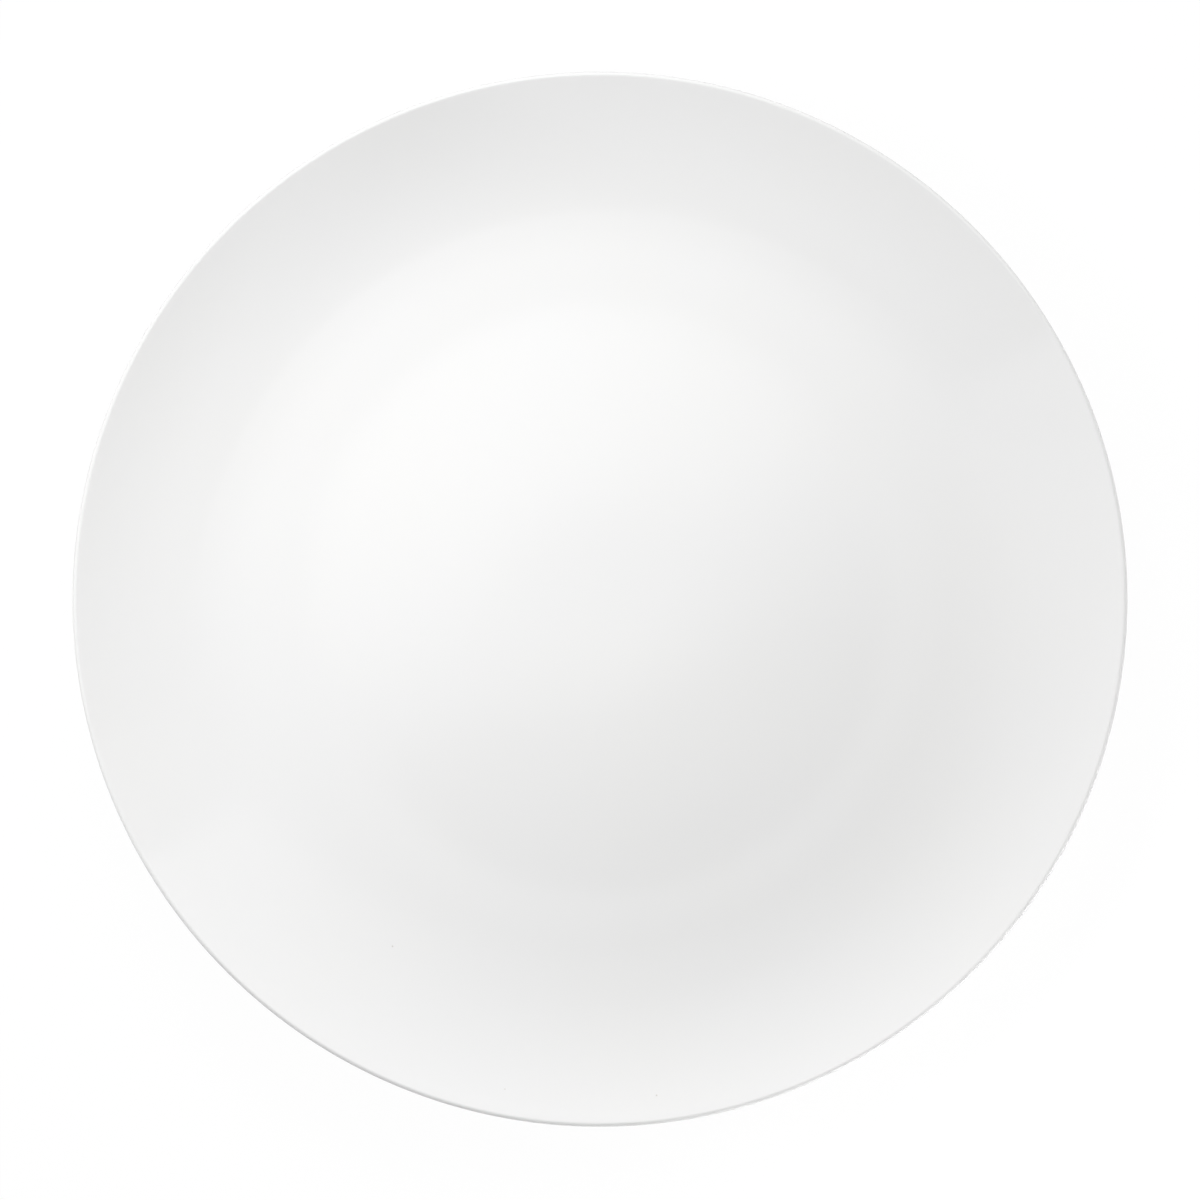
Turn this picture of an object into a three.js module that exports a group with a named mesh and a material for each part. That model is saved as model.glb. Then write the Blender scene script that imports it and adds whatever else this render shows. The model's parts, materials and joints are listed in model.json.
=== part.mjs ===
// A coupe charger plate in glazed porcelain: a fired body turned about its upright axis, the glaze that
// coats its upper face, lip and underside, and the pool of glaze inside its bare foot ring.
// Millimetres, +Z up, origin on the table under the middle of the plate.
import * as THREE from "three";

// Driving dimensions, in millimetres. Outside sizes are taken over the glaze.
const PLATE_DIAMETER = 320;
const PLATE_HEIGHT = 22.8;
const RIM_WIDTH = 40; // upturned rim, measured across the plan to the outside of the lip
const SHOULDER_WIDTH = 30.5; // long shallow rise between the flat well and the rim
const SHOULDER_RADIUS = 460;
const FLOOR_THICKNESS = 5.4; // well floor and shoulder
const LIP_EDGE_RADIUS = 1; // tight round along the lip's upper edge
const LIP_UNDER_RADIUS = 3; // fuller round from the outside of the lip into the underside
const FOOT_HEIGHT = 2.8; // foot ring below the recess that it encloses
const FOOT_BAND = 3.2; // width of the band that stands on the table, before its edges are rounded
const FOOT_OUTSET = 5.5; // outer edge of that band beyond the edge of the well
const FOOT_FILLET = 1.2; // foot into underside, and foot into recess
const FOOT_EDGE_ROUND = 0.5;
const BARE_HEIGHT = 0.9; // the foot is wiped clean of glaze up to this height
const GLAZE_THICKNESS = 0.3;
const BOND_CLEARANCE = 0.02; // keeps the facets of the glaze off those of the body
const FOOT_DRAFT = THREE.MathUtils.degToRad(25); // lean of the foot's two sides from upright

// Facet counts.
const AROUND = 72;
const SHOULDER_STEPS = 2;
const RIM_STEPS = 6;
const LIP_EDGE_STEPS = 6;
const LIP_UNDER_STEPS = 4;
const FILLET_STEPS = 3;
const EDGE_STEPS = 2;

// Sizes that follow from the driving dimensions.
const plateRadius = PLATE_DIAMETER / 2;
const shoulderEnd = plateRadius - RIM_WIDTH;
const wellRadius = shoulderEnd - SHOULDER_WIDTH;
const wellHeight = FOOT_HEIGHT + FLOOR_THICKNESS;
const lipHeight = PLATE_HEIGHT - LIP_EDGE_RADIUS; // widest part of the lip, where its two rounds meet
const coatDepth = GLAZE_THICKNESS + BOND_CLEARANCE;
const footOuter = wellRadius + FOOT_OUTSET;
const footInner = footOuter - FOOT_BAND;
const leanCos = Math.cos(FOOT_DRAFT);
const leanSin = Math.sin(FOOT_DRAFT);
const DOWN = -Math.PI / 2;
const UP = Math.PI / 2;
const OUTWARDS = 0;

// Half section: x is the distance from the axis, y the height above the table.
const point = (x, y) => new THREE.Vector2(x, y);
const bearing = (from, to) => Math.atan2(to.y - from.y, to.x - from.x);

function arc(centre, radius, from, to, steps) {
  return Array.from({ length: steps + 1 }, (_, step) => {
    const angle = from + ((to - from) * step) / steps;
    return point(centre.x + radius * Math.cos(angle), centre.y + radius * Math.sin(angle));
  });
}

// One outline from several runs, where each run starts on the last point of the one before.
function chain(first, ...runs) {
  return runs.reduce((outline, run) => outline.concat(run.slice(1)), first);
}

// Shoulder: upper face and underside are arcs about one centre, which meet the flat well level.
const shoulderCentre = point(wellRadius, wellHeight + SHOULDER_RADIUS);
const shoulderUnderRadius = SHOULDER_RADIUS + FLOOR_THICKNESS;
const shoulderTurn = Math.asin(SHOULDER_WIDTH / SHOULDER_RADIUS);
const shoulderOut = DOWN + shoulderTurn; // bearing from the centre to where the rim takes over
const towardsCentre = point(-Math.sin(shoulderTurn), Math.cos(shoulderTurn));
const rimStartTop = shoulderCentre.clone().addScaledVector(towardsCentre, -SHOULDER_RADIUS);
const rimStartUnder = shoulderCentre.clone().addScaledVector(towardsCentre, -shoulderUnderRadius);

// Rim: each face leaves the shoulder in line with it and ends tangent to one of the lip's rounds. That round
// lies outside the upper arc's circle and inside the lower one's, which sets the sign of its radius.
const lipEdge = point(plateRadius - LIP_EDGE_RADIUS, lipHeight);
const lipUnderside = point(plateRadius - LIP_UNDER_RADIUS, lipHeight);

function rimArc(start, lipCentre, lipSide) {
  const across = start.clone().sub(lipCentre);
  const radius = (lipSide ** 2 - across.lengthSq()) / (2 * (towardsCentre.dot(across) - lipSide));
  return { radius, centre: start.clone().addScaledVector(towardsCentre, radius) };
}

const rimTop = rimArc(rimStartTop, lipEdge, LIP_EDGE_RADIUS);
const rimUnder = rimArc(rimStartUnder, lipUnderside, -LIP_UNDER_RADIUS);

// Foot ring: the fillet outside it touches the drafted wall and the shoulder's underside.
function outerFilletCentre() {
  const wallNormal = point(leanCos, -leanSin);
  const wallUp = point(leanSin, leanCos);
  const offWall = wallNormal.clone().multiplyScalar(footOuter * leanCos + coatDepth + FOOT_FILLET);
  const fromCentre = offWall.clone().sub(shoulderCentre);
  const along = wallUp.dot(fromCentre);
  const reach = shoulderUnderRadius + FOOT_FILLET;
  const rise = -along - Math.sqrt(along ** 2 - fromCentre.lengthSq() + reach ** 2);
  return offWall.addScaledVector(wallUp, rise);
}

function innerFilletCentre() {
  const height = FOOT_HEIGHT - FOOT_FILLET;
  return point(footInner - (coatDepth + FOOT_FILLET + height * leanSin) / leanCos, height);
}

const outerFillet = outerFilletCentre();
const innerFillet = innerFilletCentre();

// The glazed surface from the bare foot out to the lip and back in to the axis, or one parallel to it at
// a depth below it. Arcs that are hollow seen from the air widen with depth and the others tighten.
function coatOutline(depth) {
  const wallOffset = (coatDepth - depth + BARE_HEIGHT * leanSin) / leanCos;
  const glazeLine = point(footOuter + wallOffset, BARE_HEIGHT);
  const lipUnder = bearing(rimUnder.centre, lipUnderside);
  const lipTop = bearing(lipEdge, rimTop.centre);
  const rimEnd = bearing(rimTop.centre, lipEdge);
  const filletEnd = bearing(outerFillet, shoulderCentre);
  const underStart = bearing(shoulderCentre, outerFillet);
  return [
    glazeLine,
    ...chain(
      arc(outerFillet, FOOT_FILLET + depth, Math.PI - FOOT_DRAFT, filletEnd, FILLET_STEPS),
      arc(shoulderCentre, shoulderUnderRadius - depth, underStart, shoulderOut, SHOULDER_STEPS),
      arc(rimUnder.centre, rimUnder.radius - depth, shoulderOut, lipUnder, RIM_STEPS),
      arc(lipUnderside, LIP_UNDER_RADIUS - depth, lipUnder, OUTWARDS, LIP_UNDER_STEPS),
      arc(lipEdge, LIP_EDGE_RADIUS - depth, OUTWARDS, lipTop, LIP_EDGE_STEPS),
      arc(rimTop.centre, rimTop.radius + depth, rimEnd, shoulderOut, RIM_STEPS),
      arc(shoulderCentre, SHOULDER_RADIUS + depth, shoulderOut, DOWN, SHOULDER_STEPS),
    ),
    point(0, wellHeight - depth),
  ];
}

// The glazed ceiling and inner wall of the foot recess, from the axis to the bare foot, or a parallel to it.
function recessOutline(depth) {
  const wallOffset = (coatDepth - depth + BARE_HEIGHT * leanSin) / leanCos;
  return [
    point(0, FOOT_HEIGHT + depth),
    ...arc(innerFillet, FOOT_FILLET + depth, UP, FOOT_DRAFT, FILLET_STEPS),
    point(footInner - wallOffset, BARE_HEIGHT),
  ];
}

// The bare band that stands on the table, with both its edges rounded.
function footOutline() {
  const setBack = (FOOT_EDGE_ROUND * (1 - leanSin)) / leanCos;
  const innerEdge = point(footInner + setBack, FOOT_EDGE_ROUND);
  const outerEdge = point(footOuter - setBack, FOOT_EDGE_ROUND);
  return [
    ...arc(innerEdge, FOOT_EDGE_ROUND, FOOT_DRAFT - Math.PI, DOWN, EDGE_STEPS),
    ...arc(outerEdge, FOOT_EDGE_ROUND, DOWN, -FOOT_DRAFT, EDGE_STEPS),
  ];
}

// A named solid turned from an outline that runs anticlockwise from the axis and back to it.
function turned(name, outline, material) {
  const geometry = new THREE.LatheGeometry(outline, AROUND);
  geometry.rotateX(Math.PI / 2);
  const mesh = new THREE.Mesh(geometry, material);
  mesh.name = name;
  return mesh;
}

// Materials.
const biscuit = new THREE.MeshStandardMaterial({ color: 0xece6dc, roughness: 0.7, metalness: 0 });
const whiteGlaze = new THREE.MeshStandardMaterial({ color: 0xf1f1ef, roughness: 0.1, metalness: 0 });
const recessWhite = whiteGlaze.clone();

// The fired body with its foot ring.
function porcelainBody() {
  const outline = [...recessOutline(coatDepth), ...footOutline(), ...coatOutline(coatDepth)];
  return turned("porcelain_body", outline, biscuit);
}

// One unbroken coat over the upper face, round the lip and down the underside to the foot.
function glazeCoat() {
  const bonded = coatOutline(GLAZE_THICKNESS).reverse();
  return turned("glaze_coat", [...bonded, ...coatOutline(0)], whiteGlaze);
}

// The glaze inside the foot ring, cut off from the rest by the bare band.
function recessGlaze() {
  const bonded = recessOutline(GLAZE_THICKNESS).reverse();
  return turned("recess_glaze", [...recessOutline(0), ...bonded], recessWhite);
}

const chargerPlate = new THREE.Group();
chargerPlate.name = "charger_plate";
chargerPlate.add(porcelainBody(), glazeCoat(), recessGlaze());

export default chargerPlate;
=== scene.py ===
"""A porcelain charger plate, turned from half sections: its fired body, its glaze and its glazed recess."""
import json
import math

import bpy
from bpy.props import FloatProperty, FloatVectorProperty, IntProperty, PointerProperty
from mathutils import Matrix, Vector


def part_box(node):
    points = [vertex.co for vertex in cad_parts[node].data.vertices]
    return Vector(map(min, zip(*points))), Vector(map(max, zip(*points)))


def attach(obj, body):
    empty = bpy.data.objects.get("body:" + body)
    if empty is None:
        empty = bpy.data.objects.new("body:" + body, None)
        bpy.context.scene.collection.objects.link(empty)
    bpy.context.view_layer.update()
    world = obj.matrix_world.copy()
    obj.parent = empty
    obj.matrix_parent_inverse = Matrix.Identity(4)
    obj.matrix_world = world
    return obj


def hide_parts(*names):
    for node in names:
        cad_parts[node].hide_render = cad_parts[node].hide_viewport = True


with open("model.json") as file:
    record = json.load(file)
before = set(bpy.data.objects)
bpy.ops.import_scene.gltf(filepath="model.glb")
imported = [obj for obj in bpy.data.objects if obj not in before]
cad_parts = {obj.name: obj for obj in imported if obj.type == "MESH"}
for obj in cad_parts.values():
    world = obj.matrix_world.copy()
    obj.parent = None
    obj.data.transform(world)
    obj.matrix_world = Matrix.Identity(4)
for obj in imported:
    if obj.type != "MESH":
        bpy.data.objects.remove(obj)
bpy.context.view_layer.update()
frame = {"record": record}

bl_info = {
    "name": "Charger Plate",
    "version": (1, 0, 0),
    "blender": (4, 5, 0),
    "location": "View3D > Sidebar > Charger Plate",
    "description": "Turns a glazed porcelain charger plate and sets up a studio round it",
    "category": "Add Mesh",
}

COAT_LOW, COAT_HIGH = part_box("glaze_coat")
WELL_MOUNT = next(mount for mount in frame["record"]["mounts"] if mount["name"] == "well")

# Upper face from the middle out to the rim: each arc's end, in metres, and its slope there in degrees.
# Firing leaves the well a little crowned, so that it lies level only to about a quarter of a millimetre.
FACE_RUNS = (
    (0.0193, 0.53),  # dish in the middle
    (0.0566, -0.80),  # crown round it
    (0.0771, -0.72),  # fall to the edge of the well
    (0.0847, 0.10),  # hollow along that edge
    (0.0931, 1.99),  # bend up out of the well
    (0.1060, 2.37),  # foot of the shoulder
    (0.1128, 3.37),  # shoulder
    (0.1200, 5.45),  # lift into the rim
)

# Rings along each run of the half section. Glaze and body have the same ones, so they stay parallel.
FACE_RINGS = 5
RECESS_RINGS = 10
SHOULDER_RINGS = 12
RIM_RINGS = 28
LIP_EDGE_RINGS = 14
LIP_UNDER_RINGS = 8
FILLET_RINGS = 6
WALL_RINGS = 2
EDGE_RINGS = 4

# Bearing straight down in the section, anticlockwise from outwards.
DOWN = -math.pi / 2
QUARTER_TURN = math.pi / 2

# Side of the plane that each section starts from, before it is merged to one vertex, in metres.
START_SIZE = 0.01

# Vertices nearer to each other than this are merged, in metres, which closes the seam and the poles.
MERGE_DISTANCE = 1e-5

# Edges where the surface turns by less than this are shaded smooth.
SMOOTH_ANGLE = math.radians(35)

# Noise in the finishes: its waves to the metre, its levels of detail, the band of its values that is
# drawn out, and how high it raises the surface, in metres.
THIN_GLAZE = {"waves": 14, "detail": 2, "band": (0.4, 0.65)}
GLOSS_PATCHES = {"waves": 60, "detail": 3, "band": (0.3, 0.7)}
RIPPLES = {"waves": 24, "detail": 0, "height": 0.00005}
PEEL = {"waves": 260, "detail": 1, "height": 0.000002}
GRAIN = {"waves": 2500, "detail": 3, "band": (0.5, 0.75), "height": 0.00003}
RUBS = {"waves": 120, "detail": 4, "band": (0.45, 0.65)}

# Iron specks in the glaze: where they lie on the plan and how far they reach from there, in metres, and
# the share of that reach over which they are at their darkest.
SPECKS = ((-0.0635, -0.1062, 0.00035), (0.0172, -0.1508, 0.00035), (-0.0289, -0.1489, 0.00025))
SPECK_CORE = 1 / 3

# The foot is scuffed up to this height over the table, in metres.
CONTACT_HEIGHT = 0.0002

# The floor lies this far below the flat band of the foot, in metres.
FLOOR_DROP = 0.00001

# Material that the two glazed pieces share.
GLAZE_NAME = "white gloss glaze"

WHITE = (1, 1, 1, 1)

# Lights that the gloss mirrors, each with its bearing in degrees, the lean from upright at which it
# starts and is full, and its level over that of the white room.
MIRRORED_LIGHTS = (
    {"turn": 120, "start": -0.047, "full": 0.046, "level": 0.655},
    {"turn": 107, "start": -0.037, "full": -0.020, "level": 0.165},
)

# How low those lights reach: one over the sine of the height at which they stop, and are full.
LIGHTS_END = (3.5, 2.2)

# Lowest sine of a height that a lean is worked out for, because a lean has no end at the horizon.
LOWEST_SINE = 0.05

# Dark stands that the gloss mirrors opposite those lights: the share of the room's light that each one
# takes, and the leans over which its near end, its far end and its sides come in.
MIRRORED_STANDS = (
    {"turn": -73, "near": (-0.081, 0.033), "far": (1.98, 1.76), "side": (1.28, 0.03), "share": 0.28},
    {"turn": -69, "near": (0.076, 0.100), "far": (1.98, 1.76), "side": (0.42, -0.07), "share": 0.72},
)

# Lamps, which gloss and camera don't see: watts, bearing and rise in degrees, metres off and across.
LAMPS = (
    {"name": "key_strip", "power": 0.367, "turn": 132, "rise": 65, "distance": 0.30, "size": (0.36, 0.04)},
    {"name": "back_lamp", "power": 11.67, "turn": 105, "rise": 26, "distance": 2.0, "size": (0.7, 0.7)},
    {"name": "left_lamp", "power": 12.21, "turn": 180, "rise": 35, "distance": 2.0, "size": (0.7, 0.7)},
    {"name": "right_lamp", "power": 8.43, "turn": 30, "rise": 35, "distance": 2.0, "size": (0.7, 0.7)},
    {"name": "front_strip", "power": 0.240, "turn": -55, "rise": 8, "distance": 0.30, "size": (0.3, 0.04)},
    {"name": "side_strip", "power": 0.065, "turn": -5, "rise": 8, "distance": 0.30, "size": (0.3, 0.04)},
)


def length(name, description, default):
    """A size in metres that a user can set."""
    return FloatProperty(name=name, description=description, default=default, min=0, precision=5,
                         subtype="DISTANCE", unit="LENGTH")


def share(name, description, default):
    """A plain number between 0 and 1."""
    return FloatProperty(name=name, description=description, default=default, min=0, max=1,
                         subtype="FACTOR")


def colour(name, description, default):
    """A linear colour."""
    return FloatVectorProperty(name=name, description=description, default=default, size=3, min=0, max=1,
                               subtype="COLOR")


def angle(name, description, degrees):
    """An angle, given in degrees and kept in radians."""
    return FloatProperty(name=name, description=description, default=math.radians(degrees),
                         subtype="ANGLE", unit="ROTATION")


class PlateSizes(bpy.types.PropertyGroup):
    """Sizes of the plate, taken over the glaze."""

    diameter: length("Diameter", "Across the lip", COAT_HIGH.x - COAT_LOW.x)
    height: length("Height", "From the table to the top of the lip", COAT_HIGH.z)
    well_height: length("Well height", "From the table to the well's mean level", WELL_MOUNT["pos_m"][2])
    rim_width: length("Rim width", "Upturned rim, measured in plan to the outside of the lip", 0.040)
    shoulder_width: length("Shoulder width", "Shallow rise between the well and the rim", 0.0305)
    shoulder_radius: length("Shoulder radius", "Bend of its underside, less the floor's thickness", 0.460)
    floor_thickness: length("Floor thickness", "Well floor and shoulder", 0.0054)
    lip_edge_radius: length("Lip edge radius", "Tight round along the lip's upper edge", 0.001)
    lip_under_radius: length("Lip under radius", "Fuller round from the lip into the underside", 0.003)
    foot_band: length("Foot band", "Width of the band that stands on the table", 0.0032)
    foot_outset: length("Foot outset", "Outer edge of that band beyond the edge of the well", 0.0055)
    foot_fillet: length("Foot fillet", "Round of the foot into the underside and into the recess", 0.0012)
    foot_edge_round: length("Foot edge round", "Round of the band's two edges", 0.0005)
    foot_draft: angle("Foot draft", "Lean of the foot's two sides from upright", 25)
    bare_height: length("Bare height", "The foot is wiped clean of glaze up to this height", COAT_LOW.z)
    glaze_thickness: length("Glaze thickness", "Coat of glaze over the body", 0.0003)
    bond_clearance: length("Bond clearance", "Keeps the glaze off the facets of the body", 0.00002)
    glaze_edge_round: length("Glaze edge round", "Round of the glaze where it stops at the foot", 0.0002)
    segments: IntProperty(name="Segments", description="Steps in one turn", default=256, min=24)


class PlateFinish(bpy.types.PropertyGroup):
    """Colours and roughness of the glaze and of the bare foot."""

    glaze: colour("Glaze", "White glaze", (0.900, 0.8995, 0.898))
    glaze_warm: colour("Thin glaze", "Where the body warms a thinner glaze", (0.900, 0.8985, 0.893))
    glaze_roughness: share("Glaze roughness", "Middle value over the surface", 0.045)
    gloss_spread: share("Gloss spread", "How far the glaze's roughness varies either way", 0.015)
    speck: colour("Speck", "Iron specks under the glaze", (0.70, 0.68, 0.65))
    biscuit: colour("Biscuit", "Fired body without glaze", (0.84, 0.81, 0.76))
    biscuit_dark: colour("Biscuit grain", "Darker grains in the fired body", (0.74, 0.70, 0.64))
    biscuit_roughness: share("Biscuit roughness", "Fired body without glaze", 0.75)
    scuff: colour("Scuff", "Grey marks where the foot slides on tables", (0.62, 0.61, 0.59))
    scuff_roughness: share("Scuff roughness", "Where sliding has rubbed the foot smoother", 0.5)


class StudioSetup(bpy.types.PropertyGroup):
    """Camera, floor and even light."""

    camera_distance: length("Camera distance", "From the lip's plane up to the lens", 1.3)
    frame_width: length("Frame width", "What the picture takes in at the height of the lip", 0.36365)
    frame_shift: length("Frame shift", "How far below the plate's middle the picture is centred", 0.00023)
    floor_size: length("Floor size", "Side of the square floor", 12.0)
    floor: colour("Floor", "Pale floor", (0.86, 0.86, 0.86))
    backdrop_level: share("Backdrop level", "Brightness of the floor in the picture, without lamps", 0.96)
    shadow_share: share("Shadow share", "How much of the light on the floor shows in the picture", 0.05)
    fill_level: share("Fill level", "Light from all round", 0.2115)


def bearing(start, end):
    """Angle of the way from one point of the section to another, anticlockwise from outwards."""
    return math.atan2(end.y - start.y, end.x - start.x)


def rim_arc_centre(start, slope, lip_centre, lip_side):
    """Centre of the arc that leaves a point at a slope and ends tangent to a round of the lip.

    The round lies outside the upper arc's circle and inside the lower one's, and lip_side is its radius
    with that sign.
    """
    inwards = Vector((-math.sin(slope), math.cos(slope)))
    across = start - lip_centre
    radius = (lip_side**2 - across.length_squared) / (2 * (inwards.dot(across) - lip_side))
    return start + inwards * radius


class PlateSection:
    """Centres, radii and bearings of the arcs of the plate's half section.

    In the section x is the distance from the axis and y the height above the table.
    """

    def __init__(self, sizes):
        self.sizes = sizes
        self.coat_depth = sizes.glaze_thickness + sizes.bond_clearance
        plate_radius = sizes.diameter / 2
        self.well_radius = plate_radius - sizes.rim_width - sizes.shoulder_width
        self.foot_height = sizes.well_height - sizes.floor_thickness
        self.foot_outer = self.well_radius + sizes.foot_outset
        self.foot_inner = self.foot_outer - sizes.foot_band
        self.lean_cos = math.cos(sizes.foot_draft)
        self.lean_sin = math.sin(sizes.foot_draft)
        lip_height = sizes.height - sizes.lip_edge_radius
        self.lip_edge = Vector((plate_radius - sizes.lip_edge_radius, lip_height))
        self.lip_underside = Vector((plate_radius - sizes.lip_under_radius, lip_height))
        self.place_shoulder()
        self.place_face()
        self.place_rim()
        self.place_fillets()

    def place_shoulder(self):
        """The shoulder's underside is an arc, level where it meets the well."""
        sizes = self.sizes
        self.shoulder_centre = Vector((self.well_radius, sizes.well_height + sizes.shoulder_radius))
        self.shoulder_under_radius = sizes.shoulder_radius + sizes.floor_thickness
        self.shoulder_turn = math.asin(sizes.shoulder_width / sizes.shoulder_radius)
        self.shoulder_out = DOWN + self.shoulder_turn

    def place_face(self):
        """Chains the arcs of the upper face in line with each other and sets the well at its mean level."""
        at = Vector((0, 0))
        slope = 0
        self.face_arcs = []
        well_levels = []
        for end_radius, end_degrees in FACE_RUNS:
            end_slope = math.radians(end_degrees)
            radius = (end_radius - at.x) / (math.sin(end_slope) - math.sin(slope))
            centre = at + radius * Vector((-math.sin(slope), math.cos(slope)))
            self.face_arcs.append((centre, end_slope - slope))
            at = centre - radius * Vector((-math.sin(end_slope), math.cos(end_slope)))
            slope = end_slope
            if end_radius <= self.well_radius:
                well_levels.append(at.y)
        self.face_slope = slope
        self.middle_height = self.sizes.well_height - sum(well_levels) / len(well_levels)
        for centre, _ in self.face_arcs:
            centre.y += self.middle_height
        self.face_end = at + Vector((0, self.middle_height))

    def place_rim(self):
        """Each face of the rim goes on in line from the shoulder and ends tangent to a round of the lip."""
        sizes = self.sizes
        under_reach = Vector((math.sin(self.shoulder_turn), -math.cos(self.shoulder_turn)))
        under_start = self.shoulder_centre + under_reach * self.shoulder_under_radius
        self.rim_centre = rim_arc_centre(self.face_end, self.face_slope, self.lip_edge,
                                         sizes.lip_edge_radius)
        self.rim_under_centre = rim_arc_centre(under_start, self.shoulder_turn, self.lip_underside,
                                               -sizes.lip_under_radius)

    def place_fillets(self):
        """Fillets between the foot's outer wall and the shoulder, and its inner wall and the recess."""
        fillet = self.sizes.foot_fillet
        wall_normal = Vector((self.lean_cos, -self.lean_sin))
        wall_up = Vector((self.lean_sin, self.lean_cos))
        off_wall = wall_normal * (self.foot_outer * self.lean_cos + self.coat_depth + fillet)
        from_centre = off_wall - self.shoulder_centre
        along = wall_up.dot(from_centre)
        reach = self.shoulder_under_radius + fillet
        rise = -along - math.sqrt(along**2 - from_centre.length_squared + reach**2)
        self.fillet_centre = off_wall + wall_up * rise
        height = self.foot_height - fillet
        inset = self.wall_offset(height) + fillet / self.lean_cos
        self.recess_fillet_centre = Vector((self.foot_inner - inset, height))

    def wall_offset(self, height):
        """How far the glaze on either wall of the foot stands off the foot's edge at a height."""
        return (self.coat_depth + height * self.lean_sin) / self.lean_cos

    def coat_arcs(self):
        """Arcs and rings of the glazed face, from the axis out, round the lip and under to the foot."""
        rim_end = bearing(self.rim_centre, self.lip_edge)
        lip_top = bearing(self.lip_edge, self.rim_centre)
        lip_under = bearing(self.rim_under_centre, self.lip_underside)
        fillet_out = bearing(self.shoulder_centre, self.fillet_centre)
        fillet_start = bearing(self.fillet_centre, self.shoulder_centre)
        return [
            *[(centre, turn, FACE_RINGS) for centre, turn in self.face_arcs],
            (self.rim_centre, rim_end - DOWN - self.face_slope, RIM_RINGS),
            (self.lip_edge, -lip_top, LIP_EDGE_RINGS),
            (self.lip_underside, lip_under, LIP_UNDER_RINGS),
            (self.rim_under_centre, self.shoulder_out - lip_under, RIM_RINGS),
            (self.shoulder_centre, fillet_out - self.shoulder_out, SHOULDER_RINGS),
            (self.fillet_centre, math.pi - self.sizes.foot_draft - fillet_start, FILLET_RINGS),
        ]


class SectionPen:
    """Draws a half section in edit mode, on from one vertex, and turns it about the plate's axis."""

    def __init__(self, name, start):
        bpy.ops.object.select_all(action="DESELECT")
        bpy.ops.mesh.primitive_plane_add(size=START_SIZE)
        self.piece = bpy.context.object
        self.piece.name = name
        self.piece.data.name = name
        self.at = start
        bpy.ops.object.mode_set(mode="EDIT")
        bpy.ops.mesh.merge(type="CENTER")
        bpy.ops.mesh.select_all(action="SELECT")
        bpy.ops.transform.translate(value=(start.x, 0, start.y))

    def line(self, end, rings):
        """A straight run to a point."""
        step = (end - self.at) / rings
        for _ in range(rings):
            bpy.ops.mesh.extrude_region_move(TRANSFORM_OT_translate={"value": (step.x, 0, step.y)})
        self.at = end

    def arc(self, centre, turn, rings):
        """A round run, anticlockwise where turn is positive, as spin turns left-handed about its axis."""
        bpy.ops.mesh.spin(steps=rings, angle=turn, center=(centre.x, 0, centre.y), axis=(0, 1, 0))
        self.at = centre + Matrix.Rotation(turn, 2) @ (self.at - centre)

    def follow(self, arcs):
        """Draws arcs one after the other."""
        for centre, turn, rings in arcs:
            self.arc(centre, turn, rings)

    def retrace(self, arcs):
        """Draws arcs from the last to the first, at the depth that the pen is at."""
        for centre, turn, rings in reversed(arcs):
            self.arc(centre, -turn, rings)

    def turn(self, segments):
        """Turns the section once about the axis, closes its seam and poles, and points the faces out."""
        bpy.ops.mesh.select_all(action="SELECT")
        bpy.ops.mesh.spin(steps=segments, angle=math.tau, center=(0, 0, 0), axis=(0, 0, 1))
        bpy.ops.mesh.select_all(action="SELECT")
        bpy.ops.mesh.remove_doubles(threshold=MERGE_DISTANCE)
        bpy.ops.mesh.normals_make_consistent(inside=False)
        bpy.ops.object.mode_set(mode="OBJECT")
        return self.piece


def glaze_edge_height(section):
    """Where the round along the glaze's edge starts, so that its lowest point lies on the glaze line."""
    return section.sizes.bare_height + section.sizes.glaze_edge_round * (1 - section.lean_sin)


def round_glaze_edge(pen, sizes, into_body, turn):
    """Rounds the glaze off where it stops at the foot and brings the pen to the side that faces the body."""
    pen.arc(pen.at + into_body * sizes.glaze_edge_round, turn, EDGE_RINGS)
    pen.line(pen.at + into_body * (sizes.glaze_thickness - sizes.glaze_edge_round), 1)


def draw_foot_band(pen, section):
    """The bare foot from outside to inside: down its wall and over the band that stands on the table."""
    sizes = section.sizes
    edge = sizes.foot_edge_round
    set_back = edge * (1 - section.lean_sin) / section.lean_cos
    outer_edge = Vector((section.foot_outer - set_back, edge))
    inner_edge = Vector((section.foot_inner + set_back, edge))
    wall_end = Vector((section.lean_cos, -section.lean_sin)) * edge
    edge_turn = QUARTER_TURN - sizes.foot_draft
    pen.line(outer_edge + wall_end, WALL_RINGS)
    pen.arc(outer_edge, -edge_turn, EDGE_RINGS)
    pen.line(inner_edge + Vector((0, -edge)), WALL_RINGS)
    pen.arc(inner_edge, -edge_turn, EDGE_RINGS)


def draw_recess(pen, section, depth):
    """From inside the foot up its inner wall and in over the recess to the axis."""
    sizes = section.sizes
    fillet = section.recess_fillet_centre
    wall_top = Vector((section.lean_cos, section.lean_sin)) * (sizes.foot_fillet + depth)
    pen.line(fillet + wall_top, WALL_RINGS)
    pen.arc(fillet, QUARTER_TURN - sizes.foot_draft, FILLET_RINGS)
    pen.line(Vector((0, section.foot_height + depth)), RECESS_RINGS)


def finish_piece(piece, material, node):
    """Smooths a piece, gives it its finish and the body that it rides on, and hides the solid that it
    replaces.
    """
    bpy.ops.object.shade_smooth_by_angle(angle=SMOOTH_ANGLE)
    piece.data.materials.clear()
    piece.data.materials.append(material)
    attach(piece, "root")
    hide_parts(node)


def feed(tree, socket, value):
    """Links an input to an output, or sets it to a value."""
    if isinstance(value, bpy.types.NodeSocket):
        tree.links.new(value, socket)
    else:
        socket.default_value = value


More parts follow.
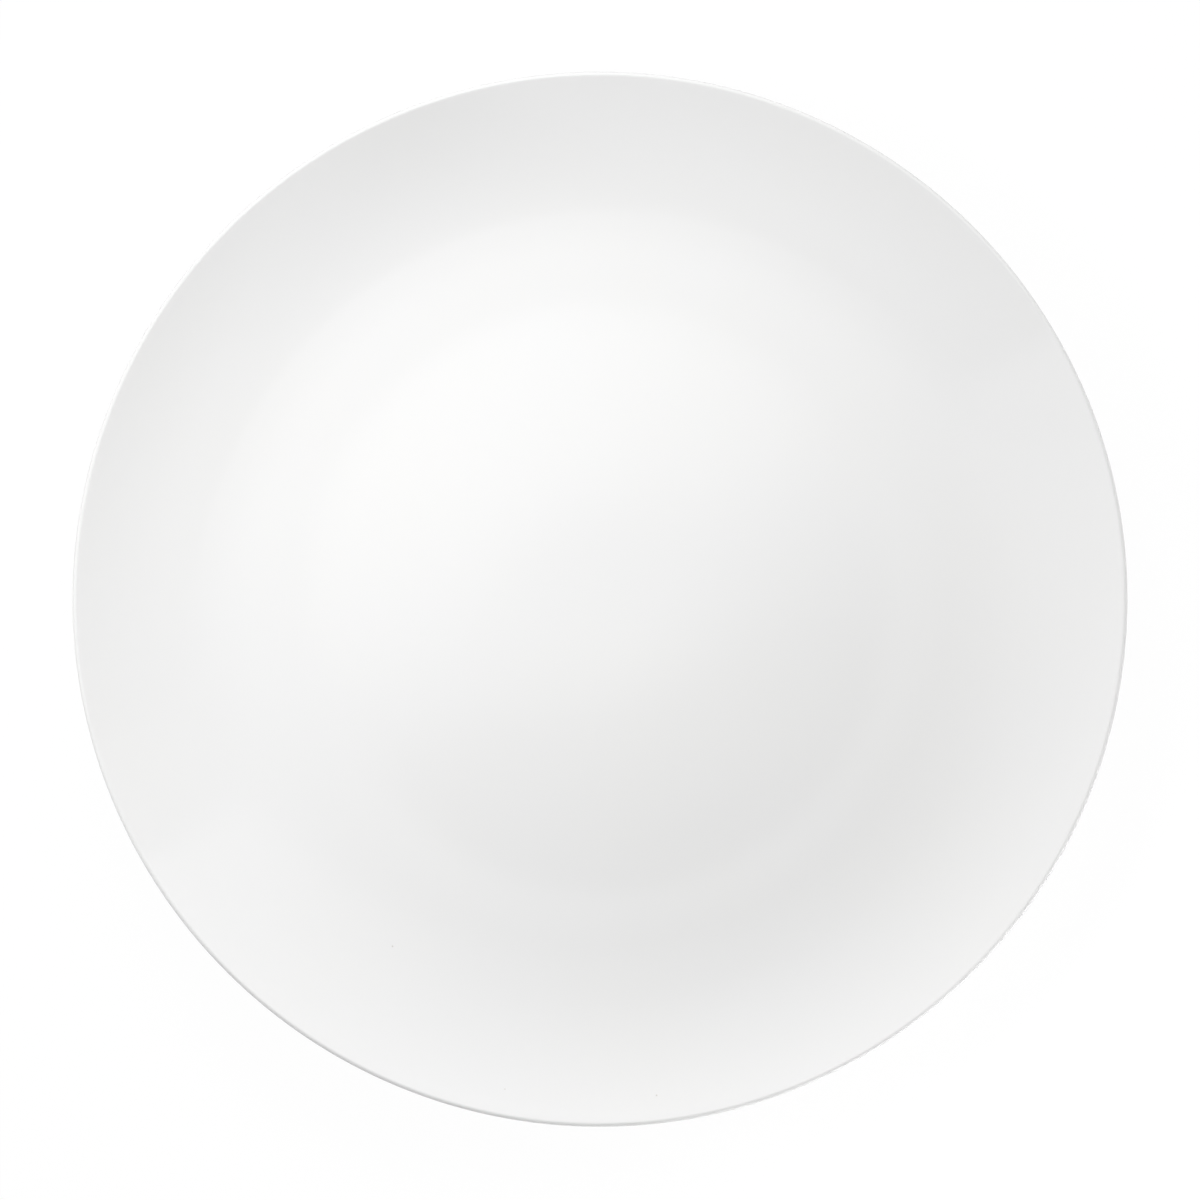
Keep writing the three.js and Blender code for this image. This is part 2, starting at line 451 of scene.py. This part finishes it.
def add_node(tree, kind, settings=None, **inputs):
    """Adds a shader node with its settings and what its named inputs are fed."""
    node = tree.nodes.new(kind)
    for name, value in (settings or {}).items():
        setattr(node, name, value)
    for name, value in inputs.items():
        feed(tree, node.inputs[name.replace("_", " ")], value)
    return node


def calculate(tree, operation, first, second=0):
    """One sum of one or two values, each a number or an output."""
    node = add_node(tree, "ShaderNodeMath", {"operation": operation})
    feed(tree, node.inputs[0], first)
    feed(tree, node.inputs[1], second)
    return node.outputs["Value"]


def combine(tree, operation, first, second):
    """The node of a sum of two vectors, each three numbers or an output."""
    node = add_node(tree, "ShaderNodeVectorMath", {"operation": operation})
    feed(tree, node.inputs[0], first)
    feed(tree, node.inputs[1], second)
    return node


def spread(tree, value, band, ends):
    """Draws a band of values out between two ends, and holds what lies outside it there."""
    node = add_node(tree, "ShaderNodeMapRange", Value=value, From_Min=band[0], From_Max=band[1],
                    To_Min=ends[0], To_Max=ends[1])
    return node.outputs["Result"]


def soft_edge(tree, value, start, end):
    """Rises softly from 0 at start to 1 at end."""
    node = add_node(tree, "ShaderNodeMapRange", {"interpolation_type": "SMOOTHERSTEP"}, Value=value,
                    From_Min=start, From_Max=end)
    return node.outputs["Result"]


def noise(tree, place, kind):
    """One kind of noise."""
    node = add_node(tree, "ShaderNodeTexNoise", Vector=place, Scale=kind["waves"], Detail=kind["detail"])
    return node.outputs["Fac"]


def patches(tree, place, kind, low=0, high=1):
    """One kind of noise, with its band drawn out between two values."""
    return spread(tree, noise(tree, place, kind), kind["band"], (low, high))


def relief(tree, place, kind):
    """How high one kind of noise raises the surface, in metres."""
    return calculate(tree, "MULTIPLY", noise(tree, place, kind), kind["height"])


def blend_colours(tree, factor, first, second):
    """Mixes two colours, each four numbers or an output."""
    node = add_node(tree, "ShaderNodeMix", {"data_type": "RGBA"}, Factor=factor)
    for socket, value in zip((s for s in node.inputs if s.type == "RGBA"), (first, second)):
        feed(tree, socket, value)
    return next(s for s in node.outputs if s.type == "RGBA")


def mix_shaders(tree, factor, first, second):
    """Mixes the outputs of two shaders."""
    node = add_node(tree, "ShaderNodeMixShader", Fac=factor)
    tree.links.new(first, node.inputs[1])
    tree.links.new(second, node.inputs[2])
    return node.outputs["Shader"]


def new_finish(name):
    """A material with its node tree, its shader and the place on the piece in metres."""
    material = bpy.data.materials.new(name)
    material.use_nodes = True
    tree = material.node_tree
    place = add_node(tree, "ShaderNodeTexCoord").outputs["Object"]
    return material, tree, tree.nodes["Principled BSDF"], place


def raise_bumps(tree, shader, height):
    """Bumps the shader's surface by a height in metres."""
    bump = add_node(tree, "ShaderNodeBump", Strength=1, Distance=1, Height=height)
    tree.links.new(bump.outputs["Normal"], shader.inputs["Normal"])


def iron_specks(tree, place):
    """1 at the middle of each speck, falling softly to 0 at its edge."""
    plan = combine(tree, "MULTIPLY", place, (1, 1, 0)).outputs["Vector"]
    mask = 0
    for across, along, reach in SPECKS:
        away = combine(tree, "DISTANCE", plan, (across, along, 0)).outputs["Value"]
        speck = spread(tree, away, (reach * SPECK_CORE, reach), (1, 0))
        mask = calculate(tree, "MAXIMUM", speck, mask)
    return mask


def glaze_finish(finish):
    """White gloss glaze: a little warmer where it lies thin, with slow ripples, a faint peel and specks."""
    material, tree, shader, place = new_finish(GLAZE_NAME)
    thin = patches(tree, place, THIN_GLAZE)
    tint = blend_colours(tree, thin, (*finish.glaze, 1), (*finish.glaze_warm, 1))
    tint = blend_colours(tree, iron_specks(tree, place), tint, (*finish.speck, 1))
    tree.links.new(tint, shader.inputs["Base Color"])
    smoothest = finish.glaze_roughness - finish.gloss_spread
    dullest = finish.glaze_roughness + finish.gloss_spread
    tree.links.new(patches(tree, place, GLOSS_PATCHES, smoothest, dullest), shader.inputs["Roughness"])
    waves = calculate(tree, "ADD", relief(tree, place, RIPPLES), relief(tree, place, PEEL))
    raise_bumps(tree, shader, waves)
    return material


def shared_glaze(finish):
    """The glaze of both glazed pieces, made the first time that one of them asks for it."""
    return bpy.data.materials.get(GLAZE_NAME) or glaze_finish(finish)


def biscuit_finish(finish):
    """Matt fired clay with fine grain, scuffed grey and rubbed smoother where it stands on the table."""
    material, tree, shader, place = new_finish("bare biscuit porcelain")
    grain = patches(tree, place, GRAIN)
    tint = blend_colours(tree, grain, (*finish.biscuit, 1), (*finish.biscuit_dark, 1))
    height = add_node(tree, "ShaderNodeSeparateXYZ", Vector=place).outputs["Z"]
    contact = spread(tree, height, (0, CONTACT_HEIGHT), (1, 0))
    scuffed = calculate(tree, "MULTIPLY", contact, patches(tree, place, RUBS))
    tint = blend_colours(tree, scuffed, tint, (*finish.scuff, 1))
    tree.links.new(tint, shader.inputs["Base Color"])
    roughness = spread(tree, scuffed, (0, 1), (finish.biscuit_roughness, finish.scuff_roughness))
    tree.links.new(roughness, shader.inputs["Roughness"])
    raise_bumps(tree, shader, relief(tree, place, GRAIN))
    return material


class PLATE_OT_glaze_coat(bpy.types.Operator):
    """Turn the coat of glaze over the upper face, round the lip and under the rim down to the foot"""

    bl_idname = "charger_plate.glaze_coat"
    bl_label = "Glaze coat"

    def execute(self, context):
        sizes = context.scene.plate_sizes
        section = PlateSection(sizes)
        arcs = section.coat_arcs()
        edge_height = glaze_edge_height(section)
        edge_radius = section.foot_outer + section.wall_offset(edge_height)
        into_body = Vector((-section.lean_cos, section.lean_sin))
        body_side = into_body * (sizes.foot_fillet + sizes.glaze_thickness)
        pen = SectionPen("white_glaze_coat", Vector((0, section.middle_height)))
        pen.follow(arcs)
        pen.line(Vector((edge_radius, edge_height)), WALL_RINGS)
        round_glaze_edge(pen, sizes, into_body, -QUARTER_TURN)
        pen.line(section.fillet_centre + body_side, WALL_RINGS)
        pen.retrace(arcs)
        piece = pen.turn(sizes.segments)
        finish_piece(piece, shared_glaze(context.scene.plate_finish), "glaze_coat")
        return {"FINISHED"}


class PLATE_OT_recess_glaze(bpy.types.Operator):
    """Turn the glaze inside the foot ring, cut off from the rest by the bare band"""

    bl_idname = "charger_plate.recess_glaze"
    bl_label = "Recess glaze"

    def execute(self, context):
        sizes = context.scene.plate_sizes
        section = PlateSection(sizes)
        edge_height = glaze_edge_height(section)
        edge_radius = section.foot_inner - section.wall_offset(edge_height)
        fillet = section.recess_fillet_centre
        into_body = Vector((section.lean_cos, section.lean_sin))
        pen = SectionPen("foot_recess_glaze", Vector((0, section.foot_height)))
        pen.line(Vector((fillet.x, section.foot_height)), RECESS_RINGS)
        pen.arc(fillet, sizes.foot_draft - QUARTER_TURN, FILLET_RINGS)
        pen.line(Vector((edge_radius, edge_height)), WALL_RINGS)
        round_glaze_edge(pen, sizes, into_body, QUARTER_TURN)
        draw_recess(pen, section, sizes.glaze_thickness)
        piece = pen.turn(sizes.segments)
        finish_piece(piece, shared_glaze(context.scene.plate_finish), "recess_glaze")
        return {"FINISHED"}


class PLATE_OT_body(bpy.types.Operator):
    """Turn the fired body, which shows only at the bare foot ring"""

    bl_idname = "charger_plate.body"
    bl_label = "Porcelain body"

    def execute(self, context):
        sizes = context.scene.plate_sizes
        section = PlateSection(sizes)
        depth = section.coat_depth
        pen = SectionPen("biscuit_body", Vector((0, section.middle_height - depth)))
        pen.follow(section.coat_arcs())
        draw_foot_band(pen, section)
        draw_recess(pen, section, depth)
        piece = pen.turn(sizes.segments)
        material = biscuit_finish(context.scene.plate_finish)
        finish_piece(piece, material, "porcelain_body")
        return {"FINISHED"}


def seen_directly(tree):
    """1 for a ray from the camera, a mirror or a glass, and 0 for one that gathers light for a surface."""
    path = add_node(tree, "ShaderNodeLightPath").outputs
    mirrored = calculate(tree, "MAXIMUM", path["Is Glossy Ray"], path["Is Transmission Ray"])
    return calculate(tree, "MAXIMUM", path["Is Camera Ray"], mirrored)


def upright_lean(tree):
    """A direction drawn out to a height of 1, so that its X and Y say how far it leans from upright."""
    direction = add_node(tree, "ShaderNodeTexCoord").outputs["Generated"]
    sine = add_node(tree, "ShaderNodeSeparateXYZ", Vector=direction).outputs["Z"]
    stretch = calculate(tree, "DIVIDE", 1, calculate(tree, "MAXIMUM", sine, LOWEST_SINE))
    lean = add_node(tree, "ShaderNodeVectorMath", {"operation": "SCALE"}, Vector=direction, Scale=stretch)
    return lean.outputs["Vector"]


def lean_towards(tree, lean, turn):
    """The part of a lean that goes towards a bearing."""
    return combine(tree, "DOT_PRODUCT", lean, (math.cos(turn), math.sin(turn), 0)).outputs["Value"]


def mirrored_surround(tree):
    """What the gloss mirrors: a white room with lights on one side and dark stands on the other."""
    lean = upright_lean(tree)
    room = 1
    for stand in MIRRORED_STANDS:
        turn = math.radians(stand["turn"])
        along = lean_towards(tree, lean, turn)
        across = calculate(tree, "ABSOLUTE", lean_towards(tree, lean, turn + QUARTER_TURN))
        near = soft_edge(tree, along, *stand["near"])
        far = soft_edge(tree, along, *stand["far"])
        side = soft_edge(tree, across, *stand["side"])
        hidden = calculate(tree, "MULTIPLY", calculate(tree, "MULTIPLY", near, far), side)
        room = calculate(tree, "SUBTRACT", room, calculate(tree, "MULTIPLY", hidden, stand["share"]))
    reach = add_node(tree, "ShaderNodeVectorMath", {"operation": "LENGTH"}, Vector=lean).outputs["Value"]
    above = soft_edge(tree, reach, *LIGHTS_END)
    for light in MIRRORED_LIGHTS:
        along = lean_towards(tree, lean, math.radians(light["turn"]))
        edge = soft_edge(tree, along, light["start"], light["full"])
        shown = calculate(tree, "MULTIPLY", edge, above)
        room = calculate(tree, "ADD", room, calculate(tree, "MULTIPLY", shown, light["level"]))
    return room


def light_world(studio):
    """White to the eye, a softly lit room to mirrors, and an even fill to everything else."""
    world = bpy.data.worlds.new("Studio")
    bpy.context.scene.world = world
    world.use_nodes = True
    tree = world.node_tree
    fill = tree.nodes["Background"]
    fill.inputs["Color"].default_value = WHITE
    fill.inputs["Strength"].default_value = studio.fill_level
    room = add_node(tree, "ShaderNodeBackground", Color=WHITE, Strength=mirrored_surround(tree))
    white = add_node(tree, "ShaderNodeBackground", Color=WHITE, Strength=1)
    path = add_node(tree, "ShaderNodeLightPath").outputs
    shown = fill.outputs["Background"]
    for name, other in (("Is Glossy Ray", room), ("Is Transmission Ray", white), ("Is Camera Ray", white)):
        shown = mix_shaders(tree, path[name], shown, other.outputs["Background"])
    tree.links.new(shown, tree.nodes["World Output"].inputs["Surface"])


def lay_floor(studio):
    """A pale floor that shows white, with a faint shadow under the plate."""
    bpy.ops.object.select_all(action="DESELECT")
    bpy.ops.mesh.primitive_plane_add(size=studio.floor_size, location=(0, 0, -FLOOR_DROP))
    floor = bpy.context.object
    floor.name = "studio_floor"
    material = bpy.data.materials.new("pale floor")
    material.use_nodes = True
    tree = material.node_tree
    tree.nodes.remove(tree.nodes["Principled BSDF"])
    lit = add_node(tree, "ShaderNodeBsdfDiffuse", Color=(*studio.floor, 1))
    level = add_node(tree, "ShaderNodeEmission", Color=WHITE, Strength=studio.backdrop_level)
    shadow = add_node(tree, "ShaderNodeBsdfDiffuse", Color=(*[studio.shadow_share] * 3, 1))
    shown = add_node(tree, "ShaderNodeAddShader")
    tree.links.new(level.outputs["Emission"], shown.inputs[0])
    tree.links.new(shadow.outputs["BSDF"], shown.inputs[1])
    surface = mix_shaders(tree, seen_directly(tree), lit.outputs["BSDF"], shown.outputs["Shader"])
    tree.links.new(surface, tree.nodes["Material Output"].inputs["Surface"])
    floor.data.materials.append(material)


def hang_lamp(name, power, turn, rise, distance, size):
    """A soft oblong lamp that looks at the plate from a bearing, a rise over the table and a distance."""
    turn = math.radians(turn)
    rise = math.radians(rise)
    across = distance * math.cos(rise)
    place = Vector((across * math.cos(turn), across * math.sin(turn), distance * math.sin(rise)))
    bpy.ops.object.light_add(type="AREA", location=place)
    lamp = bpy.context.object
    lamp.name = name
    lamp.data.shape = "RECTANGLE"
    lamp.data.size, lamp.data.size_y = size
    lamp.data.energy = power
    lamp.rotation_euler = (-place).to_track_quat("-Z", "Y").to_euler()
    lamp.visible_camera = False
    lamp.visible_glossy = False


def aim_camera(studio, sizes):
    """Straight down on the plate, with a lens that takes in the frame's width at the lip."""
    bpy.ops.object.camera_add(location=(0, -studio.frame_shift, sizes.height + studio.camera_distance))
    camera = bpy.context.object
    camera.name = "overhead_camera"
    camera.data.lens = camera.data.sensor_width * studio.camera_distance / studio.frame_width
    bpy.context.scene.camera = camera


class PLATE_OT_studio(bpy.types.Operator):
    """Set up the floor, the lamps and a camera that looks straight down on the plate"""

    bl_idname = "charger_plate.studio"
    bl_label = "Studio"

    def execute(self, context):
        studio = context.scene.plate_studio
        context.scene.view_settings.view_transform = "Standard"
        light_world(studio)
        lay_floor(studio)
        for lamp in LAMPS:
            hang_lamp(**lamp)
        aim_camera(studio, context.scene.plate_sizes)
        return {"FINISHED"}


OPERATORS = (PLATE_OT_glaze_coat, PLATE_OT_recess_glaze, PLATE_OT_body, PLATE_OT_studio)


class PLATE_PT_sidebar(bpy.types.Panel):
    """Steps and settings of the charger plate"""

    bl_idname = "PLATE_PT_sidebar"
    bl_label = "Charger Plate"
    bl_space_type = "VIEW_3D"
    bl_region_type = "UI"
    bl_category = "Charger Plate"

    def draw(self, context):
        scene = context.scene
        for operator in OPERATORS:
            self.layout.operator(operator.bl_idname)
        for settings in (scene.plate_sizes, scene.plate_finish, scene.plate_studio):
            box = self.layout.box()
            for name in settings.__annotations__:
                box.prop(settings, name)


CLASSES = (PlateSizes, PlateFinish, StudioSetup, *OPERATORS, PLATE_PT_sidebar)


def register():
    for cls in CLASSES:
        bpy.utils.register_class(cls)
    bpy.types.Scene.plate_sizes = PointerProperty(type=PlateSizes)
    bpy.types.Scene.plate_finish = PointerProperty(type=PlateFinish)
    bpy.types.Scene.plate_studio = PointerProperty(type=StudioSetup)


def unregister():
    del bpy.types.Scene.plate_studio
    del bpy.types.Scene.plate_finish
    del bpy.types.Scene.plate_sizes
    for cls in reversed(CLASSES):
        bpy.utils.unregister_class(cls)


def main():
    register()
    bpy.ops.charger_plate.glaze_coat()
    bpy.ops.charger_plate.recess_glaze()
    bpy.ops.charger_plate.body()
    bpy.ops.charger_plate.studio()


if __name__ == "__main__":
    main()
